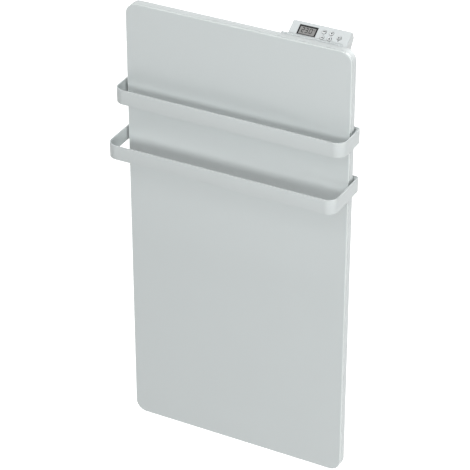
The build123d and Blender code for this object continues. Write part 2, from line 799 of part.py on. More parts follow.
# Control fascia: a plate that closes the housing, with a skirt inside its walls and posts for the board
skirt_width = control_width - 2 * control_wall - 2 * loose
skirt_low_s = (control_wall - fascia_thickness * rise) / run + loose
skirt_high_s = face_length - control_wall - 2 * loose - skirt_depth * drop_depth / drop_height * (1 - rise)
skirt_length = skirt_high_s - skirt_low_s
with BuildPart() as control_fascia:
    with BuildSketch(Plane.YZ.offset(control_left)):
        Polygon(*control_outline, align=None)
    extrude(amount=control_width)
    split(bisect_by=face_plane(fascia_thickness), keep=Keep.TOP)
    with BuildSketch(face_plane(fascia_thickness, s=skirt_low_s + skirt_length / 2)):
        Rectangle(skirt_width, skirt_length)
        Rectangle(skirt_width - 2 * skirt_thickness, skirt_length - 2 * skirt_thickness, mode=Mode.SUBTRACT)
    extrude(amount=-skirt_depth)
    with BuildSketch(face_plane(fascia_thickness)):
        with Locations(*[(side * post_x, s) for s in post_s for side in (-1, 1)]):
            Circle(post_diameter / 2)
    extrude(amount=fascia_thickness - board_depth)
    with BuildSketch(face_plane(board_depth)):
        with Locations(*[(side * post_x, s) for s in post_s for side in (-1, 1)]):
            Circle(board_screw_diameter / 2 + running)
    extrude(amount=board_depth - fascia_thickness - blind_end, mode=Mode.SUBTRACT)
    with BuildSketch(face_plane(0, window_x, window_s)):
        Rectangle(window_width, window_length)
    extrude(amount=-window_thickness - slip, mode=Mode.SUBTRACT)
    with BuildSketch(face_plane(0, window_x, window_s)):
        Rectangle(window_width - 2 * window_ledge, window_length - 2 * window_ledge)
    extrude(amount=-fascia_thickness, mode=Mode.SUBTRACT)
    with BuildSketch(face_plane(0)):
        with Locations(*button_places.values()):
            Circle(button_diameter / 2 + loose)
        with Locations((power_x, lens_s)):
            Circle(lens_diameter / 2 + slip)
    extrude(amount=-fascia_thickness, mode=Mode.SUBTRACT)
keep(control_fascia, "control_fascia")

# Window, display cell and the carrier that holds the cell off the board
cell_depth = fascia_thickness + slip
cell_width = window_width - window_ledge
cell_length = window_length - window_ledge
with BuildPart() as display_window:
    with BuildSketch(face_plane(window_thickness + slip, window_x, window_s)):
        Rectangle(window_width - 2 * slip, window_length - 2 * slip)
    extrude(amount=window_thickness)
keep(display_window, "display_window")

with BuildPart() as display_cell:
    with BuildSketch(face_plane(cell_depth + cell_thickness, window_x, window_s)):
        Rectangle(cell_width, cell_length)
    extrude(amount=cell_thickness)
keep(display_cell, "display_cell")

with BuildPart() as display_carrier:
    with BuildSketch(face_plane(board_depth, window_x, window_s)):
        Rectangle(cell_width, cell_length)
    extrude(amount=board_depth - cell_depth - cell_thickness)
    with BuildSketch(face_plane(board_depth, window_x, window_s)):
        Rectangle(cell_width - 2 * window_ledge, cell_length - 2 * window_ledge)
    extrude(amount=board_depth - cell_depth - cell_thickness - carrier_wall, mode=Mode.SUBTRACT)
keep(display_carrier, "display_carrier")

# Indicator lens
with BuildPart() as indicator_lens:
    with BuildSketch(face_plane(board_depth - lens_above_board, power_x, lens_s)):
        Circle(lens_diameter / 2)
    extrude(amount=board_depth - lens_above_board + slip)
keep(indicator_lens, "indicator_lens")

# Buttons: a cap held by its flange under the fascia, with a stem in the switch's well
stem_end = board_depth - switch_height + button_travel
for name, (x, s) in button_places.items():
    with BuildPart() as button:
        with BuildSketch(face_plane(fascia_thickness, x, s)):
            Circle(button_diameter / 2)
        extrude(amount=fascia_thickness + button_proud)
        fillet(button.edges().filter_by(GeomType.CIRCLE).sort_by(Axis.Z)[-1], button_dome)
        with BuildSketch(face_plane(fascia_thickness + slip, x, s)):
            Circle(button_flange / 2)
        extrude(amount=-button_flange_thickness)
        with BuildSketch(face_plane(fascia_thickness + slip, x, s)):
            Circle(button_stem / 2)
        extrude(amount=fascia_thickness + slip - stem_end)
        with BuildSketch(face_plane(fascia_thickness + slip, x, s)):
            Circle(button_diameter / 2)
        extrude(amount=slip)
    keep(button, name)

# Display board, its switches, its chip and its screws
board_mid_s = (board_low_s + board_high_s) / 2
with BuildPart() as display_board:
    with BuildSketch(face_plane(board_depth + board_thickness, s=board_mid_s)):
        Rectangle(control_width - 2 * board_side_gap, board_high_s - board_low_s)
    extrude(amount=board_thickness)
    with BuildSketch(face_plane(board_depth)):
        with Locations(*[(side * post_x, s) for s in post_s for side in (-1, 1)]):
            Circle(board_screw_diameter / 2 + slip)
    extrude(amount=-board_thickness, mode=Mode.SUBTRACT)
keep(display_board, "display_board")

with BuildPart() as button_switches:
    with BuildSketch(face_plane(board_depth)):
        with Locations(*button_places.values()):
            Rectangle(switch_width, switch_width)
    extrude(amount=switch_height)
    with BuildSketch(face_plane(board_depth - switch_height)):
        with Locations(*button_places.values()):
            Circle(button_stem / 2 + loose)
    extrude(amount=-switch_well, mode=Mode.SUBTRACT)
keep(button_switches, "button_switches")

with BuildPart() as display_chip:
    with BuildSketch(face_plane(board_depth + board_thickness, button_columns[1], board_mid_s)):
        Rectangle(chip_side, chip_side)
    extrude(amount=-chip_height)
keep(display_chip, "display_chip")

board_rear = board_depth + board_thickness
with BuildPart() as display_board_screws:
    with BuildSketch(face_plane(board_rear)):
        with Locations(*[(side * post_x, s) for s in post_s for side in (-1, 1)]):
            Circle(board_screw_head / 2)
    extrude(amount=-board_screw_head_height)
    with BuildSketch(face_plane(board_rear)):
        with Locations(*[(side * post_x, s) for s in post_s for side in (-1, 1)]):
            Circle(board_screw_diameter / 2)
    extrude(amount=board_screw_length)
keep(display_board_screws, "display_board_screws")

# Power board with its screws and parts, which stand towards the wall
with BuildPart() as power_board:
    with BuildSketch(room_plane(power_board_rear, power_mid_x, power_mid_z)):
        Rectangle(power_board_width, power_board_height)
        with GridLocations(power_post_x, power_post_z, 2, 2):
            Circle(board_screw_diameter / 2 + slip, mode=Mode.SUBTRACT)
    extrude(amount=board_thickness)
keep(power_board, "power_board")

with BuildPart() as power_board_screws:
    with BuildSketch(room_plane(power_board_rear, power_mid_x, power_mid_z)):
        with GridLocations(power_post_x, power_post_z, 2, 2):
            Circle(board_screw_head / 2)
    extrude(amount=-board_screw_head_height)
    with BuildSketch(room_plane(power_board_rear, power_mid_x, power_mid_z)):
        with GridLocations(power_post_x, power_post_z, 2, 2):
            Circle(board_screw_diameter / 2)
    extrude(amount=board_thickness + power_board_standoff)
keep(power_board_screws, "power_board_screws")

for name, size in {"relay": relay_size, "transformer": transformer_size,
                   "terminal_block": terminal_size, "fuse": fuse_size}.items():
    inset, rise_above_floor, width, length, depth = size
    with BuildPart() as power_piece:
        with BuildSketch(room_plane(power_board_rear, control_left + inset, floor_height + rise_above_floor)):
            Rectangle(width, length)
        extrude(amount=-depth)
        chamfer(power_piece.faces().sort_by(Axis.Y)[-1].edges(), power_part_edge)
    keep(power_piece, name)

# Lead between the two boards, a flat ribbon bent in the plane across the box
ribbon_x = control_left + ribbon_inset
ribbon_start = face_plane(board_rear, s=ribbon_s).origin
ribbon_turn = face_plane(board_rear + ribbon_drop, s=ribbon_s).origin
ribbon_height = floor_height + ribbon_rise
ribbon_points = [(ribbon_start.Y, ribbon_start.Z), (ribbon_turn.Y, ribbon_turn.Z),
                 (ribbon_turn.Y - ribbon_back, ribbon_height), (-power_board_rear, ribbon_height)]
with BuildPart() as board_lead:
    with BuildSketch(Plane.YZ.offset(ribbon_x - ribbon_width / 2)):
        with BuildLine():
            FilletPolyline(*ribbon_points, radius=ribbon_bend)
        trace(line_width=ribbon_thickness)
    extrude(amount=ribbon_width)
keep(board_lead, "board_lead")

# Housing screws
shelf_low = control_floor - plate_sheet
with BuildPart() as housing_screws:
    with BuildSketch(level_plane(shelf_low, 0, housing_screw_distance)):
        with Locations(*[(x, 0) for x in housing_screw_x]):
            Circle(housing_screw_head / 2)
    extrude(amount=-housing_screw_head_height)
    with BuildSketch(level_plane(shelf_low, 0, housing_screw_distance)):
        with Locations(*[(x, 0) for x in housing_screw_x]):
            Circle(housing_screw_diameter / 2)
    extrude(amount=plate_sheet + control_wall + housing_boss_height - housing_screw_short)
keep(housing_screws, "housing_screws")

# Cable gland: body under the plate's foot, locknut on the housing's floor, dome nut and its rubber seal
with BuildPart() as gland_body:
    with BuildSketch(level_plane(shelf_low, gland_x, gland_distance)):
        RegularPolygon(gland_hex / 2, 6, major_radius=False)
    extrude(amount=-gland_hex_height)
    with BuildSketch(level_plane(shelf_low, gland_x, gland_distance)):
        Circle(gland_thread / 2)
    extrude(amount=plate_sheet + gland_thread_above)
    with BuildSketch(level_plane(shelf_low - gland_hex_height, gland_x, gland_distance)):
        Circle(gland_bore / 2)
    extrude(amount=gland_hex_height + plate_sheet + gland_thread_above, mode=Mode.SUBTRACT)
keep(gland_body, "gland_body")

nut_top = shelf_low - gland_hex_height
with BuildPart() as gland_nut:
    with BuildSketch(level_plane(nut_top, gland_x, gland_distance)):
        Circle(gland_hex / 2)
    extrude(amount=-gland_nut_height)
    fillet(gland_nut.faces().sort_by(Axis.Z)[0].edges(), gland_nut_round)
    with BuildSketch(level_plane(nut_top, gland_x, gland_distance)):
        Circle(gland_bore / 2 + gland_wall + slip)
    extrude(amount=gland_wall - gland_nut_height, mode=Mode.SUBTRACT)
    with BuildSketch(level_plane(nut_top - gland_nut_height, gland_x, gland_distance)):
        Circle(gland_bore / 2)
    extrude(amount=gland_wall, mode=Mode.SUBTRACT)
keep(gland_nut, "gland_nut")

with BuildPart() as gland_seal:
    with BuildSketch(level_plane(nut_top, gland_x, gland_distance)):
        Circle(gland_bore / 2 + gland_wall)
        Circle(gland_bore / 2, mode=Mode.SUBTRACT)
    extrude(amount=gland_wall - gland_nut_height)
keep(gland_seal, "gland_seal")

with BuildPart() as gland_locknut:
    with BuildSketch(level_plane(control_floor + control_wall, gland_x, gland_distance)):
        RegularPolygon(gland_hex / 2, 6, major_radius=False)
        Circle(gland_thread / 2 + running, mode=Mode.SUBTRACT)
    extrude(amount=locknut_height)
keep(gland_locknut, "gland_locknut")
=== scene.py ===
# %% [markdown]
# # A glass towel warmer
# A pane of satin glass hangs on a bathroom wall, with two flat rails bent round it for towels. The frame that is
# loaded first holds every piece at its real size, in metres. The lesson gives each piece its surface and finish.

# %% Load the frame
import json
import math

import bpy
import numpy as np
from mathutils import Euler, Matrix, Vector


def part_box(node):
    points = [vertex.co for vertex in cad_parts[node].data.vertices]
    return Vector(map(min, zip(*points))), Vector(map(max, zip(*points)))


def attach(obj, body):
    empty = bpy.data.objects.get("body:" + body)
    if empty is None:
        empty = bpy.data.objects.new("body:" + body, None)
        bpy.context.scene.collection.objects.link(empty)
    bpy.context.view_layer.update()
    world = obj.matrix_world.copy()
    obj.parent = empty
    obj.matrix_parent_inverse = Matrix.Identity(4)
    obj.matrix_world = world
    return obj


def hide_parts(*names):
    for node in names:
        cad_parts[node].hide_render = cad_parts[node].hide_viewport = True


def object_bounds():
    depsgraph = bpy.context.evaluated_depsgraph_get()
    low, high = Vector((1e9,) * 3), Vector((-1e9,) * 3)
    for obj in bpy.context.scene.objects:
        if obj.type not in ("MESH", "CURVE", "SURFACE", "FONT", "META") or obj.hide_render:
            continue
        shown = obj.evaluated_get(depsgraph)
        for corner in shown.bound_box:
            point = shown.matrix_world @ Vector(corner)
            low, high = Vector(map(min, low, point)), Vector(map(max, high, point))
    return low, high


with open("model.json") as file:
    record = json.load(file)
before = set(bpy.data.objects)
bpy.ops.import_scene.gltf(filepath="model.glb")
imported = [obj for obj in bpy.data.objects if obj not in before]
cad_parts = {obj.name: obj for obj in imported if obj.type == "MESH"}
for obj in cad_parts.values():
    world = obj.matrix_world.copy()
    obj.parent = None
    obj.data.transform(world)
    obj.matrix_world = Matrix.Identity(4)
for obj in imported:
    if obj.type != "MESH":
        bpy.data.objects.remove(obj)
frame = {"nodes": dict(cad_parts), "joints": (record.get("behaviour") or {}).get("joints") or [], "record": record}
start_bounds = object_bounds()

nodes = frame["nodes"]
MM = 0.001
print("nodes in the frame:", len(nodes), "box:", start_bounds)

# %% [markdown]
# Most new pieces are a grid of points. Each row of the grid is a closed ring, and neighbouring rows are joined by
# quads. They could be primitives with modifiers instead, but a grid keeps every size in sight, and one helper turns
# it into a mesh, so that the later cells only say where the rings are.

# %% A mesh from rings of points
SHARP_ANGLE = 38.0


def plain_mesh(name, points, faces, finish, body, slot, replaced=()):
    """Puts points and faces in a mesh, smooth except where two faces meet at more than the sharp angle. finish is
    a list of materials, and faces take the first unless told otherwise."""
    mesh = bpy.data.meshes.new(name)
    mesh.from_pydata(np.asarray(points).tolist(), [], faces)
    mesh.update()
    mesh.polygons.foreach_set("use_smooth", np.ones(len(mesh.polygons), bool))
    mesh.set_sharp_from_angle(angle=math.radians(SHARP_ANGLE))
    piece = bpy.data.objects.new(name, mesh)
    bpy.context.scene.collection.objects.link(piece)
    for material in finish:
        mesh.materials.append(material)
    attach(piece, body)
    if replaced:
        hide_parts(*replaced)
    print(name, "faces:", len(mesh.polygons))
    return piece


def ring_mesh(name, rings, caps=True, **rest):
    """rings is an array (rows, points, 3) in metres; point j of row i joins point j of row i + 1 and, round the
    ring, point j + 1. The first and last rings are closed by a flat face each when caps is true."""
    rows, count = rings.shape[:2]
    index = np.arange(rows * count).reshape(rows, count)
    after = np.roll(index, -1, axis=1)
    faces = np.stack([index[:-1], after[:-1], after[1:], index[1:]], axis=-1).reshape(-1, 4).tolist()
    if caps:
        faces += [index[0, ::-1].tolist(), index[-1].tolist()]
    return plain_mesh(name, rings.reshape(-1, 3), faces, **rest)


print("faces that meet at more than", SHARP_ANGLE, "degrees keep a sharp edge")

# %% [markdown]
# A powder coat isn't smooth: it has a faint orange peel a few millimetres across, and its colour wanders by a
# percent or so. Moulded plastic has a finer grain, and plated steel is brushed along its length. All of these could
# be pictures wrapped round the pieces; noise in Object coordinates needs no picture and no seams, and it stays
# fixed to the piece from every side.

# %% A helper for finishes
FINE_DETAIL, BROAD_DETAIL = 3.0, 2.0
BROAD_SCALE = 9.0
ROUGHNESS_SWING = 0.04
GRAIN_DEPTH = 0.4 * MM
BEVEL_SAMPLES = 4
# A Mix node that mixes colours has its factor and its two colours at these inputs, and the result at this output.
MIX_FACTOR, MIX_DARK, MIX_LIGHT, MIX_RESULT = 0, 6, 7, 2


def look(name, colour, roughness, metallic=0.0, grain=400.0, bump=0.05, wander=0.02, stretch=(1, 1, 1),
         edge=0.0, coat=0.0, specular=0.5):
    """The base colour goes from colour * (1 - wander) to colour * (1 + wander) with a broad noise. A fine noise,
    grain cells to the metre, swings the roughness and drives the bump. With edge, normals are rounded over that
    many metres at sharp edges."""
    material = bpy.data.materials.new(name)
    material.use_nodes = True
    new, link = material.node_tree.nodes.new, material.node_tree.links.new
    shader = material.node_tree.nodes["Principled BSDF"]
    shader.inputs["Metallic"].default_value = metallic
    shader.inputs["Coat Weight"].default_value = coat
    shader.inputs["Specular IOR Level"].default_value = specular
    place, mapping = new("ShaderNodeTexCoord"), new("ShaderNodeMapping")
    mapping.inputs["Scale"].default_value = stretch
    link(place.outputs["Object"], mapping.inputs["Vector"])
    fine, broad = new("ShaderNodeTexNoise"), new("ShaderNodeTexNoise")
    for texture, scale, detail in ((fine, grain, FINE_DETAIL), (broad, BROAD_SCALE, BROAD_DETAIL)):
        texture.inputs["Scale"].default_value = scale
        texture.inputs["Detail"].default_value = detail
        link(mapping.outputs["Vector"], texture.inputs["Vector"])
    blend = new("ShaderNodeMix")
    blend.data_type = "RGBA"
    blend.inputs[MIX_DARK].default_value = [c * (1 - wander) for c in colour] + [1.0]
    blend.inputs[MIX_LIGHT].default_value = [c * (1 + wander) for c in colour] + [1.0]
    link(broad.outputs["Fac"], blend.inputs[MIX_FACTOR])
    link(blend.outputs[MIX_RESULT], shader.inputs["Base Color"])
    rough = new("ShaderNodeMapRange")
    rough.inputs["To Min"].default_value = roughness - ROUGHNESS_SWING
    rough.inputs["To Max"].default_value = roughness + ROUGHNESS_SWING
    link(fine.outputs["Fac"], rough.inputs["Value"])
    link(rough.outputs["Result"], shader.inputs["Roughness"])
    height = new("ShaderNodeBump")
    height.inputs["Strength"].default_value = bump
    height.inputs["Distance"].default_value = GRAIN_DEPTH
    link(fine.outputs["Fac"], height.inputs["Height"])
    if edge:
        rounded = new("ShaderNodeBevel")
        rounded.samples = BEVEL_SAMPLES
        rounded.inputs["Radius"].default_value = edge
        link(rounded.outputs["Normal"], height.inputs["Normal"])
    link(height.outputs["Normal"], shader.inputs["Normal"])
    return material


print("the grain is up to", GRAIN_DEPTH / MM, "mm deep")

# %% [markdown]
# The finishes, one for each material slot of the record. The pane, the casing and the rails share one cool pale
# grey in the photograph; the fascia looks lighter because it faces the top lamp. Behind the panel the channels and
# brackets are plated steel. Pieces that aren't rebuilt below keep their CAD shape and only get their finish here.

# %% Finishes by slot
finishes = {
    "panel_glass": look("satin_glass", (0.555, 0.593, 0.593), 0.42, grain=900, bump=0.02, wander=0.008),
    "seal_rubber": look("black_rubber", (0.02, 0.02, 0.02), 0.65, grain=600, bump=0.1, wander=0.1),
    "casing_paint": look("casing_powder_coat", (0.59, 0.625, 0.625), 0.5, grain=420, bump=0.08, edge=0.6 * MM),
    "rail_paint": look("rail_powder_coat", (0.535, 0.57, 0.57), 0.42, grain=420, bump=0.08, wander=0.012),
    "foil": look("foil", (0.8, 0.8, 0.8), 0.3, metallic=1.0, grain=300, bump=0.2),
    "wire_silicone": look("wire_jacket", (0.35, 0.05, 0.04), 0.5),
    "mat_fibre": look("mat_fibre", (0.72, 0.70, 0.64), 0.95, grain=700, bump=0.6, wander=0.08),
    "cutout_steel": look("cut_out_steel", (0.55, 0.55, 0.55), 0.35, metallic=1.0),
    "sensor_black": look("black_moulding", (0.03, 0.03, 0.03), 0.5),
    "block_ceramic": look("ceramic", (0.8, 0.79, 0.74), 0.25, grain=200, bump=0.05),
    "loom_black": look("loom_sleeve", (0.03, 0.03, 0.03), 0.55, grain=900, bump=0.3),
    "zinc_steel": look("plated_steel", (0.40, 0.41, 0.42), 0.38, metallic=1.0, grain=90, bump=0.06, wander=0.06,
                       stretch=(0.15, 1.0, 8.0), edge=0.5 * MM),
    "control_plastic": look("housing_plastic", (0.60, 0.625, 0.625), 0.5, grain=1100, bump=0.1, edge=1.2 * MM),
    "fascia_plastic": look("fascia_plastic", (0.56, 0.595, 0.60), 0.42, grain=1200, bump=0.06, edge=0.8 * MM),
    "window_gloss": look("window_border", (0.008, 0.008, 0.009), 0.35, bump=0.01, specular=0.25),
    "display_grey": look("display_field", (0.25, 0.25, 0.245), 0.45, grain=700, bump=0.01, wander=0.05,
                         specular=0.2),
    "lens_smoke": look("smoked_lens", (0.18, 0.18, 0.18), 0.15, bump=0.01, coat=0.5),
    "button_plastic": look("button_plastic", (0.64, 0.67, 0.67), 0.35, grain=900, bump=0.02),
    "board_green": look("solder_resist", (0.02, 0.16, 0.07), 0.35, grain=700, bump=0.1, wander=0.1),
    "relay_blue": look("relay_case", (0.05, 0.12, 0.4), 0.4),
    "transformer_yellow": look("transformer_tape", (0.6, 0.48, 0.08), 0.5),
    "terminal_green": look("terminal_case", (0.08, 0.3, 0.12), 0.45),
    "ribbon_grey": look("ribbon_jacket", (0.4, 0.4, 0.4), 0.5),
    "gland_plastic": look("gland_plastic", (0.04, 0.04, 0.04), 0.45, grain=800, bump=0.1),
}
# Painted highlight: the polished edge is glossier than the face and also painted lighter, for the bright line it
# shows.
polished_edge_painted_highlight = look("polished_glass_edge_painted_highlight", (0.62, 0.665, 0.66), 0.14, grain=300, bump=0.01, wander=0.02)
digit_ink = look("display_ink", (0.01, 0.01, 0.01), 0.6, bump=0.0, specular=0.1)
mark_ink = look("button_mark_ink", (0.02, 0.02, 0.022), 0.6, bump=0.0, specular=0.2)
# Painted shade: near black on the skirt of each button cap, standing in for the shade in the narrow gap round the
# cap.
painted_gap_shade = look("button_gap_painted_shade", (0.03, 0.03, 0.03), 0.8, bump=0.0, specular=0.2)
for entry in frame["record"]["subparts"]:
    materials = nodes[entry["node"]].data.materials
    materials.clear()
    materials.append(finishes[entry["material_slot"]])
print("finishes by slot:", len(finishes))

# %% [markdown]
# The pane, the casing and the section of the rails are all rounded rectangles. Blender could round a rectangle
# with a bevel modifier; four quarter circles written out give the same number of points at every size, so that one
# outline can be joined to the next.

# %% A rounded rectangle
ARC_STEPS = 14


def outline(width, height, corner, steps=ARC_STEPS):
    """Points of a rounded rectangle about the origin: four quarter circles of the corner radius, whose centres
    are at (+-(width / 2 - corner), +-(height / 2 - corner)), joined by straight lines."""
    turn = np.linspace(0, math.pi / 2, steps)
    quarter = np.stack([np.cos(turn), np.sin(turn)], axis=-1) * corner
    corners = []
    for k, (sx, sz) in enumerate(((1, 1), (-1, 1), (-1, -1), (1, -1))):
        angle = k * math.pi / 2
        spin = np.array([[math.cos(angle), math.sin(angle)], [-math.sin(angle), math.cos(angle)]])
        corners.append(quarter @ spin + np.array([sx * (width / 2 - corner), sz * (height / 2 - corner)]))
    return np.concatenate(corners)


print("points in a rounded rectangle:", len(outline(2, 2, 1)))

# %% [markdown]
# The edge of the pane and of the casing has a profile. Walking it from the front face, round the edge and onto the
# back gives the rows of the grid; each row is the outline drawn in by the profile's inset, at the profile's depth.
# It could also be a cube with a bevel, but then the polished edge and the two faces couldn't have separate
# finishes as simply.

# %% A plate with an edge profile
EDGE_STEPS = 5
LEAST_CORNER = 0.2 * MM


def quarter_turn(radius, steps=EDGE_STEPS):
    """(inset, depth) from the face to the side round a quarter circle: inset r(1 - sin a), depth r(1 - cos a)."""
    a = np.linspace(0, math.pi / 2, steps)
    return np.stack([radius * (1 - np.sin(a)), radius * (1 - np.cos(a))], axis=-1)


def plate_profile(thickness, front_insets, front_radius, back_insets, back_radius, back_steps=EDGE_STEPS):
    """(inset, depth) pairs: across the front face, round the front edge, down the side, round the back edge and
    across the back face, which is at depth thickness."""
    front_edge = quarter_turn(front_radius).tolist()
    back_edge = [(inset, thickness - depth) for inset, depth in quarter_turn(back_radius, back_steps)[::-1]]
    front_face = [(inset, 0) for inset in front_insets]
    return front_face + front_edge + back_edge + [(inset, thickness) for inset in back_insets]


def edged_plate(name, low, high, corner, profile, **rest):
    """Rings of the outline for each (inset, depth) of the profile, depth measured from the front towards +Y."""
    width, height = high.x - low.x, high.z - low.z
    middle = np.array([(low.x + high.x) / 2, (low.z + high.z) / 2])
    rings = []
    for inset, depth in profile:
        flat = outline(width - 2 * inset, height - 2 * inset, max(corner - inset, LEAST_CORNER)) + middle
        rings.append(np.stack([flat[:, 0], np.full(len(flat), low.y + depth), flat[:, 1]], axis=-1))
    return ring_mesh(name, np.array(rings), **rest)


print("rings round a plate's front edge:", EDGE_STEPS)

# %% [markdown]
# The pane is 6 mm glass with a satin front. Its edge is ground and polished, and catches the light as a thin bright
# line. That line could be painted on with a mask, but here the rows of the grid that go round the edge simply take
# a second material, glossier than the face and also painted lighter, a painted highlight.

# %% The glass pane
low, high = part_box("front_glass")
pane_corner = 25 * MM
polish = 0.8 * MM
face_inset, rim_inset = 6 * MM, 1.6 * MM
pane_profile = plate_profile(high.y - low.y, (face_inset, rim_inset), polish, (rim_inset, face_inset), polish)
pane = edged_plate("glass_pane", low, high, pane_corner, pane_profile,
                   finish=[finishes["panel_glass"], polished_edge_painted_highlight], body="heater", slot="panel_glass",
                   replaced=["front_glass"])
row_of_face = np.arange(len(pane.data.polygons)) // (4 * ARC_STEPS)
on_highlight_edge = (row_of_face >= 1) & (row_of_face < len(pane_profile) - 2)
pane.data.polygons.foreach_set("material_index", on_highlight_edge.astype(np.int32))
print("polished faces:", int(on_highlight_edge.sum()))

# %% [markdown]
# The casing is a shallow pressed tray. The CAD's own tray could stay, but its edges are crisp where pressed steel
# shows a rounding. Only the outside shows, so only that is made: a small fold at the front rim, the side, and the
# larger bend onto the back.

# %% The rear casing
low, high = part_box("rear_casing")
lip_inset, lip_rim = 13 * MM, 1.2 * MM
fold_radius, bend_radius, bend_steps = 0.6 * MM, 2.0 * MM, 7
back_rim, back_inset = 3 * MM, 9 * MM
tray_profile = plate_profile(high.y - low.y, (lip_inset, lip_rim), fold_radius, (back_rim, back_inset),
                             bend_radius, bend_steps)
edged_plate("casing_tray", low, high, pane_corner, tray_profile, finish=[finishes["casing_paint"]],
            body="heater", slot="casing_paint", replaced=["rear_casing"])

# %% [markdown]
# Seen from above, a rail is a line of straight runs with a bend at each corner, as a workshop bends it. A Bezier
# curve could follow it, but its handles give only nearly round bends; here each bend is a true arc, and the
# direction at every point comes with it.

# %% A path with bends
def unit(v):
    """v over its length."""
    return v / np.linalg.norm(v)


def bent_path(corners, radii, steps=ARC_STEPS):
    """Points and unit tangents along straight runs joined by arcs. An arc of radius r leaves a corner at
    r tan(half the turn) on each side, and its tangent turns evenly from one run to the next."""
    places, tangents = [corners[0]], [unit(corners[1] - corners[0])]
    for before, corner, after, radius in zip(corners, corners[1:], corners[2:], radii):
        t0, t1 = unit(corner - before), unit(after - corner)
        turn = math.atan2(t0[0] * t1[1] - t0[1] * t1[0], float(t0 @ t1))
        start = corner - t0 * radius * math.tan(abs(turn) / 2)
        side = np.array([-t0[1], t0[0]]) * math.copysign(1, turn)
        a = np.linspace(0, abs(turn), steps)[:, None]
        places.extend(start + t0 * radius * np.sin(a) + side * radius * (1 - np.cos(a)))
        tangents.extend(t0 * np.cos(a) + side * np.sin(a))
    places.append(corners[-1])
    tangents.append(unit(corners[-1] - corners[-2]))
    return np.array(places), np.array(tangents)


print("points in each bend:", ARC_STEPS)

# %% [markdown]
# A rail is a flat bar with eased corners, bent at four places. It could be a curve with a bevel object; here its
# section, a small rounded rectangle, is carried along the path in plan and gives one row for each step, so the bar
# stays flat through the bends. At a bend the rows fan round the bend's centre.

# %% The two rails
RAIL_THICKNESS = 3 * MM
RAIL_FLANGE = 95 * MM
RAIL_EASE = 0.5 * MM
REAR_BEND, FRONT_BEND = 4.5 * MM, 21.5 * MM


def flat_rail(name, node):
    """Each ring is centre + normal * u + Z * v, where (u, v) runs round the bar's rounded section."""
    low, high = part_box(node)
    side = high.x - RAIL_THICKNESS / 2
    end = side - RAIL_FLANGE
    front, rear = low.y + RAIL_THICKNESS / 2, high.y - RAIL_THICKNESS / 2
    corners = np.array([(-end, rear), (-side, rear), (-side, front), (side, front), (side, rear), (end, rear)])
    places, tangents = bent_path(corners, (REAR_BEND, FRONT_BEND, FRONT_BEND, REAR_BEND))
    section = outline(RAIL_THICKNESS, high.z - low.z, RAIL_EASE, steps=EDGE_STEPS)
    normals = np.stack([-tangents[:, 1], tangents[:, 0]], axis=-1)
    flat = places[:, None, :] + normals[:, None, :] * section[None, :, :1]
    tall = np.broadcast_to((low.z + high.z) / 2 + section[None, :, 1:], flat.shape[:2] + (1,))
    ring_mesh(name, np.concatenate([flat, tall], axis=-1), finish=[finishes["rail_paint"]], body="heater",
              slot="rail_paint", replaced=[node])


flat_rail("towel_rail_upper", "rail_upper")
flat_rail("towel_rail_lower", "rail_lower")

# %% [markdown]
# The control face slopes up towards the wall. Every piece on it is placed in the face's own coordinates, in
# millimetres: x along it, s up its slope and a depth under it. The joint of a button is square to the face, so its
# axis gives the slope, and nothing has to be measured twice.

# %% Coordinates on the control face
inward = np.array(next(j["axis"] for j in frame["joints"] if j["name"] == "button_power_press"))
upslope = np.array([0.0, -inward[2], inward[1]])
along = np.array([1.0, 0.0, 0.0])
house_low, house_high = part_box("control_housing")
face_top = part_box("control_fascia")[1].z
face_length = 37.4 * MM
face_origin = np.array([(house_low.x + house_high.x) / 2, house_low.y, face_top - face_length * upslope[2]])


def on_face(x, s, depth):
    """origin + x * along + s * upslope + depth * inward, for numbers or arrays in millimetres."""
    x, s, depth = np.broadcast_arrays(*(np.asarray(v, float) * MM for v in (x, s, depth)))
    return face_origin + x[..., None] * along + s[..., None] * upslope + depth[..., None] * inward


print("face origin:", face_origin.round(4).tolist())

# %% [markdown]
# Each button cap is a turned shape: a shallow dish, a rounded rim, and a skirt that steps out below the fascia. The
# skirt is painted near black, a painted shade for the narrow gap, so that a thin dark ring shows round the cap. A
# turned shape is a profile of radius and depth, spun about the button's axis; a cylinder with a bevel would have
# neither the dish nor the skirt.

# %% The buttons
TURN_STEPS = 40
button_places = {"button_mode": (7.5, 24.7), "button_clock": (23.5, 24.7), "button_minus": (7.5, 12.3),
                 "button_plus": (23.5, 12.3), "button_power": (42.2, 18.6)}


def turned(name, x, s, profile, **rest):
    """Ring k has radius r and depth d of the profile: (x + r cos a, s + r sin a, d) for a round the circle."""
    a = np.linspace(0, 2 * math.pi, TURN_STEPS, endpoint=False)
    rings = np.array([on_face(x + r * np.cos(a), s + r * np.sin(a), d) for r, d in profile])
    return ring_mesh(name, rings, **rest)


# Radius and depth of each ring, in millimetres. A depth below zero stands out of the face.
dish = [(0.4, -0.35), (1.6, -0.37), (2.8, -0.48), (3.5, -0.72)]
rim_centre, rim_depth, rim_width, rim_height = 3.9, -0.35, 0.4, 0.45
rim = [(rim_centre + rim_width * math.sin(a), rim_depth - rim_height * math.cos(a))
       for a in np.linspace(0, math.pi / 2, 6)]
skirt = [(4.3, 0.15), (4.7, 0.5), (4.7, 2.5), (5.5, 2.6), (5.5, 3.6), (1.6, 3.6), (1.6, 8.3), (0.8, 8.3)]
for button, (x, s) in button_places.items():
    cap = turned(button + "_cap", x, s, (dish + rim + skirt)[::-1],
                 finish=[finishes["button_plastic"], painted_gap_shade], body=button, slot="button_plastic",
                 replaced=[button])
    # The skirt's faces take the painted shade of the gap round the cap.
    in_painted_shade = np.arange(len(cap.data.polygons)) < len(skirt) * TURN_STEPS
    cap.data.polygons.foreach_set("material_index", in_painted_shade.astype(np.int32))

# %% [markdown]
# The display is a grey field under a window with a black printed border. The border could be a picture on one
# flat pane; a frame of its own gives it crisp edges and leaves the field free for the digits. The window's place
# and size come from its CAD box, turned into the face's coordinates.

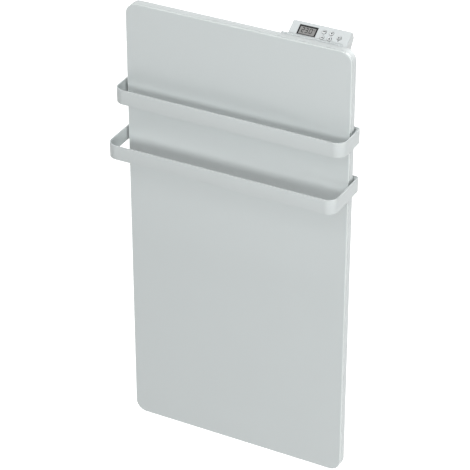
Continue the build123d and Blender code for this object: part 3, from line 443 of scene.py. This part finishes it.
# %% The window and its field
window_top, window_thick = 0.1, 1.4
field_top, field_thick = 0.9, 0.6
border_left, border_right, border_top, border_bottom = 2.8, 3.4, 3.2, 1.7
cad_window_thick = 1.5
low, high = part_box("display_window")
window_middle = (np.array(low) + np.array(high)) / 2 - face_origin
window_x, window_s = window_middle[0] / MM, float(window_middle @ upslope) / MM
window_w = (high.x - low.x) / MM
window_h = ((high.y - low.y) / MM - cad_window_thick * abs(upslope[2])) / upslope[1]


def rectangle(x0, s0, x1, s1):
    """Corners (x, s), round from (x0, s0)."""
    return [(x0, s0), (x1, s0), (x1, s1), (x0, s1)]


def patch_ring(corners, depth):
    """Corners (x, s) on the face at one depth, as points."""
    x, s = np.array(corners, float).T
    return on_face(x, s, depth)


left, right = window_x - window_w / 2, window_x + window_w / 2
bottom, top = window_s - window_h / 2, window_s + window_h / 2
outer = rectangle(left, bottom, right, top)
inner = rectangle(left + border_left, bottom + border_bottom, right - border_right, top - border_top)
under = window_top + window_thick
frame_rings = [patch_ring(outer, under), patch_ring(outer, window_top), patch_ring(inner, window_top),
               patch_ring(inner, under), patch_ring(outer, under)]
ring_mesh("window_border", np.array(frame_rings), caps=False, finish=[finishes["window_gloss"]], body="heater",
          slot="window_gloss", replaced=["display_window"])
field_rings = [patch_ring(outer, field_top + field_thick), patch_ring(outer, field_top)]
ring_mesh("display_field", np.array(field_rings), finish=[finishes["display_grey"]], body="heater",
          slot="display_grey")
print("window middle and size:", [round(float(v), 2) for v in (window_x, window_s, window_w, window_h)])

# %% [markdown]
# A digit of such a display is made of bars with pointed ends, lettered a to g from the top round and across, and
# which bars are lit follows from the digit. Each bar is a flat hexagon, and all the bars together are one thin
# mesh, because the display shows them as one layer. A text object would be quicker to make, but its letters aren't
# those of such a display.

# %% Bars of a display
SEGMENT_GAP = 0.12
lit = {"0": "abcdef", "2": "abged", "3": "abgcd"}
segments = {"a": ((0, 1), (1, 1)), "b": ((1, 1), (1, 0.5)), "c": ((1, 0.5), (1, 0)), "d": ((0, 0), (1, 0)),
            "e": ((0, 0.5), (0, 0)), "f": ((0, 1), (0, 0.5)), "g": ((0, 0.5), (1, 0.5))}


def segment(start, stop, width):
    """A hexagon from start to stop: its two points on the line, and its shoulders half a width in and out."""
    p, q = np.array(start, float), np.array(stop, float)
    t = unit(q - p)
    n = np.array([-t[1], t[0]]) * width / 2
    p, q = p + t * SEGMENT_GAP, q - t * SEGMENT_GAP
    shoulder = t * width / 2
    return np.array([p, p + shoulder - n, q - shoulder - n, q, q - shoulder + n, p + shoulder + n])


def joined_patches(name, patches, depth, thickness, **rest):
    """Several flat polygons as one mesh, each with a lower ring, an upper ring, sides and two caps."""
    points, faces = [], []
    for patch in patches:
        n, base = len(patch), len(points)
        points += patch_ring(patch, depth + thickness).tolist() + patch_ring(patch, depth).tolist()
        faces += [[base + j, base + (j + 1) % n, base + n + (j + 1) % n, base + n + j] for j in range(n)]
        faces += [list(range(base + n - 1, base - 1, -1)), list(range(base + n, base + 2 * n))]
    return plain_mesh(name, points, faces, **rest)


print("bars of a digit:", len(segments), "digits known:", sorted(lit))

# %% [markdown]
# The display reads three digits with a dot before the last, and a small unit sign. Everything is placed in
# millimetres from the window's middle, which is easier to compare with the photograph than places in the room.
# The layer lies on the display's field, deeper than the window's border.

# %% The digits
DIGITS_TOP, DIGITS_THICK = 0.84, 0.06
digit_w, digit_h, digit_bar = 5.0, 10.4, 1.35
digit_starts = {-12.6: "2", -5.2: "3", 4.0: "0"}
dot_start, dot_size = 1.6, 1.0
sign_start, sign_drop, degree_size, sign_bar = 11.0, 1.6, 1.2, 0.5
digit_low = window_s - digit_h / 2 + 0.4
patches = []
for offset, digit in digit_starts.items():
    start = window_x + offset
    for key in lit[digit]:
        (x0, s0), (x1, s1) = segments[key]
        patches.append(segment((start + x0 * digit_w, digit_low + s0 * digit_h),
                               (start + x1 * digit_w, digit_low + s1 * digit_h), digit_bar))
dot_x = window_x + dot_start
patches.append(rectangle(dot_x, digit_low - dot_size / 2, dot_x + dot_size, digit_low + dot_size / 2))
sign_x, sign_s = window_x + sign_start, digit_low + digit_h - sign_drop
patches.append(rectangle(sign_x, sign_s, sign_x + degree_size, sign_s + degree_size))
letter_left, letter_right, letter_top, letter_bottom = sign_x + 2.0, sign_x + 4.0, sign_s + 1.2, sign_s - 1.8
patches += [segment((letter_left, letter_top), (letter_right, letter_top), sign_bar),
            segment((letter_left, letter_top), (letter_left, letter_bottom), sign_bar),
            segment((letter_left, letter_bottom), (letter_right, letter_bottom), sign_bar)]
joined_patches("display_digits", patches, DIGITS_TOP, DIGITS_THICK, finish=[digit_ink], body="heater",
               slot="display_grey")

# %% [markdown]
# The marks on the buttons are plain figures: a bar with two legs for the mode, a dot over a tick for the clock,
# bars for minus and plus, a broken ring with a bar for power. A material could paint them, but it would need a
# formula for each figure. Thin plates are plainer: they stand up to 0.3 mm above the middle of the cap's dish, so
# that they show from afar, and they ride with their button.

# %% The marks on the buttons
MARK_TOP, MARK_THICK = -0.66, 0.4


def arc_band(x, s, radius, width, start, stop, steps=24):
    """Quads along an arc: corners (x + r cos a, s + r sin a) at radius -+ width / 2, between neighbouring a."""
    a = np.radians(np.linspace(start, stop, steps))
    r0, r1 = radius - width / 2, radius + width / 2
    inner_arc = np.stack([x + r0 * np.cos(a), s + r0 * np.sin(a)], axis=-1)
    outer_arc = np.stack([x + r1 * np.cos(a), s + r1 * np.sin(a)], axis=-1)
    return list(np.stack([inner_arc[:-1], outer_arc[:-1], outer_arc[1:], inner_arc[1:]], axis=1))


def bar_patch(x0, s0, x1, s1, width):
    """A straight bar as a rectangle about the line from (x0, s0) to (x1, s1)."""
    p, q = np.array([x0, s0]), np.array([x1, s1])
    t = unit(q - p)
    n = np.array([-t[1], t[0]]) * width / 2
    return [p - n, q - n, q + n, p + n]


# Millimetres from the button's middle.
marks = {
    "button_mode": [bar_patch(-2.6, 1.5, 2.6, 1.5, 1.5), bar_patch(-2.05, -0.3, -2.05, 0.75, 1.1),
                    bar_patch(2.05, -0.3, 2.05, 0.75, 1.1)],
    "button_clock": arc_band(0, 1.1, 0.8, 1.6, 0, 360) + [bar_patch(0, -1.8, 0, -0.6, 0.8)],
    "button_minus": [bar_patch(-2.5, 0, 2.5, 0, 1.6)],
    "button_plus": [bar_patch(-2.2, 0, 2.2, 0, 1.3), bar_patch(0, 0.65, 0, 2.2, 1.3),
                    bar_patch(0, -0.65, 0, -2.2, 1.3)],
    "button_power": arc_band(0, 0, 2.3, 1.1, 130, 410) + [bar_patch(0, 0.8, 0, 2.9, 0.9)],
}
for button, shapes in marks.items():
    placed = [np.array(shape) + button_places[button] for shape in shapes]
    joined_patches(button + "_mark", placed, MARK_TOP, MARK_THICK, finish=[mark_ink], body=button,
                   slot="sensor_black")

# %% [markdown]
# The photograph has a plain white ground. More lamps could turn the floor white, but they would bleach the heater
# as well. Light Path tells what kind of ray meets a surface, so rays that look at it, straight or in metal and
# glass, can be given another shader than the rays that carry light.

# %% Rays that look and rays that light
def looking_rays(tree):
    """max(Is Camera Ray, Is Glossy Ray, Is Transmission Ray): 1 for a ray that looks, 0 for one that lights."""
    path = tree.nodes.new("ShaderNodeLightPath")
    seen = path.outputs["Is Camera Ray"]
    for other in ("Is Glossy Ray", "Is Transmission Ray"):
        largest = tree.nodes.new("ShaderNodeMath")
        largest.operation = "MAXIMUM"
        tree.links.new(seen, largest.inputs[0])
        tree.links.new(path.outputs[other], largest.inputs[1])
        seen = largest.outputs[0]
    return seen


def seen_or_lit(tree, lit_shader, seen_shader, output):
    """Looking rays get seen_shader, all others lit_shader."""
    mix = tree.nodes.new("ShaderNodeMixShader")
    tree.links.new(looking_rays(tree), mix.inputs[0])
    tree.links.new(lit_shader.outputs[0], mix.inputs[1])
    tree.links.new(seen_shader.outputs[0], mix.inputs[2])
    tree.links.new(mix.outputs[0], output.inputs["Surface"])


print("rays that look: camera, glossy and transmission")

# %% [markdown]
# The room: a pale floor a good way below, since the heater hangs on a wall, and a backdrop behind. Rays that look
# see both lifted to white, and the lift adds next to no light to the heater. It is added to the lit surface, so
# the floor keeps its shadow.

# %% Floor and backdrop
ROOM_HALF, ROOM_BACK, ROOM_TOP, FLOOR_DROP = 6, 5, 6, 0.6
STAGE_SHADE, FLOOR_LIFT, BACKDROP_LIFT = 0.5, 0.92, 1.0


def stage_material(name, shade, lift):
    """A diffuse surface, with a glow of strength lift that only camera, glossy and transmission rays see."""
    material = bpy.data.materials.new(name)
    material.use_nodes = True
    tree = material.node_tree
    tree.nodes.clear()
    diffuse = tree.nodes.new("ShaderNodeBsdfDiffuse")
    diffuse.inputs["Color"].default_value = (shade, shade, shade, 1)
    glow = tree.nodes.new("ShaderNodeEmission")
    glow.inputs["Strength"].default_value = lift
    both = tree.nodes.new("ShaderNodeAddShader")
    tree.links.new(diffuse.outputs[0], both.inputs[0])
    tree.links.new(glow.outputs[0], both.inputs[1])
    seen_or_lit(tree, diffuse, both, tree.nodes.new("ShaderNodeOutputMaterial"))
    return material


def stage_sheet(name, corners, material):
    """One flat quad of the stage."""
    mesh = bpy.data.meshes.new(name)
    mesh.from_pydata(corners, [], [(0, 1, 2, 3)])
    sheet = bpy.data.objects.new(name, mesh)
    mesh.materials.append(material)
    bpy.context.scene.collection.objects.link(sheet)


floor_z = start_bounds[0][2] - FLOOR_DROP
stage_sheet("floor", [(-ROOM_HALF, -ROOM_HALF, floor_z), (ROOM_HALF, -ROOM_HALF, floor_z),
                      (ROOM_HALF, ROOM_BACK, floor_z), (-ROOM_HALF, ROOM_BACK, floor_z)],
            stage_material("floor_white", STAGE_SHADE, FLOOR_LIFT))
stage_sheet("backdrop", [(-ROOM_HALF, ROOM_BACK, floor_z), (ROOM_HALF, ROOM_BACK, floor_z),
                         (ROOM_HALF, ROOM_BACK, ROOM_TOP), (-ROOM_HALF, ROOM_BACK, ROOM_TOP)],
            stage_material("backdrop_white", STAGE_SHADE, BACKDROP_LIFT))
print("floor at z =", round(floor_z, 3))

# %% [markdown]
# A dim even world fills the shadows; the camera, metal and glass see it as white. Two front lamps stand above
# level, so that each rail's soft shadow falls on the glass just above and below the rail in the picture, where the
# photograph has it. The top and side lamps brighten the edges, and the back lamp is for whoever walks round.
# A sky texture would be less work, but its light comes from everywhere and would wash those shadows out.

# %% Light
WHITE = (1, 1, 1, 1)
WORLD_STRENGTH = 0.02
world = bpy.data.worlds.new("studio")
bpy.context.scene.world = world
world.use_nodes = True
world_nodes = world.node_tree.nodes
background, white_sky = world_nodes["Background"], world_nodes.new("ShaderNodeBackground")
background.inputs["Color"].default_value = WHITE
background.inputs["Strength"].default_value = WORLD_STRENGTH
white_sky.inputs["Color"].default_value = WHITE
seen_or_lit(world.node_tree, background, white_sky, world_nodes["World Output"])


def soft_lamp(name, azimuth, elevation, distance, size, power):
    """A square area lamp that faces the heater's middle from distance (cos e sin a, -cos e cos a, sin e), with the
    azimuth a counted from straight in front towards +X and the elevation e from level."""
    a, e = math.radians(azimuth), math.radians(elevation)
    lamp = bpy.data.lights.new(name, "AREA")
    lamp.size = size
    lamp.energy = power
    holder = bpy.data.objects.new(name, lamp)
    holder.location = (distance * math.cos(e) * math.sin(a), -distance * math.cos(e) * math.cos(a),
                       distance * math.sin(e))
    holder.rotation_euler = Euler((math.pi / 2 - e, 0, a))
    bpy.context.scene.collection.objects.link(holder)


# Azimuth and elevation in degrees, distance and size in metres, power in watts.
lamps = {
    "low_front_lamp": (14, 18, 7.0, 1.5, 242),
    "high_front_lamp": (14, 43, 7.0, 2.6, 86),
    "top_lamp": (10, 80, 4.0, 1.5, 80),
    "right_lamp": (78, 0, 4.0, 0.7, 68),
    "left_lamp": (-118, 10, 4.0, 1.5, 40),
    "back_lamp": (165, 22, 5.0, 2.0, 150),
}
for name, settings in lamps.items():
    soft_lamp(name, *settings)
print("lamps:", len(lamps))

# %% [markdown]
# The camera stands to the right and above. Placed by eye, it would leave the panel's edges leaning a little wrong,
# so its lens and place were worked out from those edges in the photograph, and the perspective is the same.

# %% Camera
SENSOR_WIDTH, LENS = 36.0, 168.565
CAMERA_PLACE = (1.789495, -3.508964, 2.358264)
LOOK_DOWN, LOOK_ROUND = 31.455, 27.496
camera = bpy.data.cameras.new("camera")
camera.sensor_width = SENSOR_WIDTH
camera.lens = LENS
viewer = bpy.data.objects.new("camera", camera)
viewer.location = CAMERA_PLACE
viewer.rotation_euler = Euler((math.radians(90 - LOOK_DOWN), 0, math.radians(LOOK_ROUND)))
bpy.context.scene.collection.objects.link(viewer)
bpy.context.scene.camera = viewer
bpy.context.scene.view_settings.view_transform = "Standard"
print("camera at", CAMERA_PLACE, "with a lens of", LENS, "mm")
